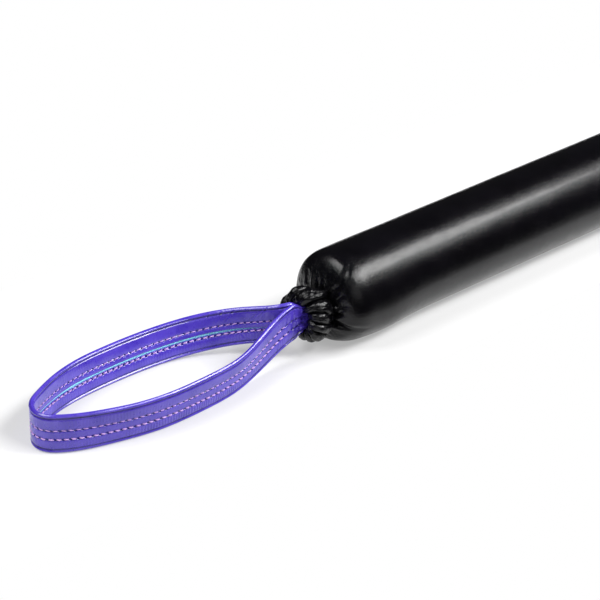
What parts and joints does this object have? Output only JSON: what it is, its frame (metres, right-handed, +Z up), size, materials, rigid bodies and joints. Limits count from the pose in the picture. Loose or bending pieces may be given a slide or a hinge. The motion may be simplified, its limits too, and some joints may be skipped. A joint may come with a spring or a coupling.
{
  "type": "padded striking stick",
  "caption": "Straight foam-padded striking stick in a two-colour sewn cover, with a domed end disc, a gathered handle end and a folded leather wrist loop.",
  "frame": {"origin": "centre of the straight grip, on the stick's axis", "axes": "+X along the stick towards the striking end, +Z up with the wrist loop standing on its lower edge; the stick rests at z = -0.030"},
  "size_m": [0.8403, 0.0867, 0.0602],
  "materials": {
    "black_cover": "smooth semi-gloss",
    "violet_cover": "smooth gloss",
    "violet_strap": "satin, fine grain",
    "webbing": "woven",
    "violet_thread": "twisted",
    "black_thread": "twisted",
    "foam": "closed-cell foam",
    "core_plastic": "extruded"
  },
  "bodies": {
    "stick": {"core_tube": "core_plastic", "handle_end_cap": "core_plastic", "tip_end_cap": "core_plastic", "inner_foam_tube": "foam", "grip_foam_wrap": "foam", "strike_foam_wrap": "foam", "handle_foam_disc": "foam", "tip_foam_pad": "foam", "grip_cover": "black_cover", "strike_cover": "violet_cover", "tip_disc": "black_cover", "gather_cord": "black_thread", "grip_seam_thread": "black_thread", "strike_seam_thread": "violet_thread", "cover_join_thread": "black_thread", "tip_seam_thread": "violet_thread", "strap_tails": "violet_strap", "tail_bar_tack": "black_thread"},
    "strap_neck": {"strap_neck": "violet_strap"},
    "wrist_loop": {"strap_loop": "violet_strap", "strap_core": "webbing", "strap_thread_upper": "violet_thread", "strap_thread_lower": "violet_thread"}
  },
  "joints": [
    {"name": "loop_lift", "type": "hinge", "parent": "stick", "child": "strap_neck", "pos_m": [-0.1895, 0, -0.005], "axis": [0, 1, 0], "range_deg": [-35, 40]},
    {"name": "loop_swing", "type": "hinge", "parent": "strap_neck", "child": "wrist_loop", "pos_m": [-0.198, 0, -0.005], "axis": [0, 0, 1], "range_deg": [-32, 70]}
  ]
}
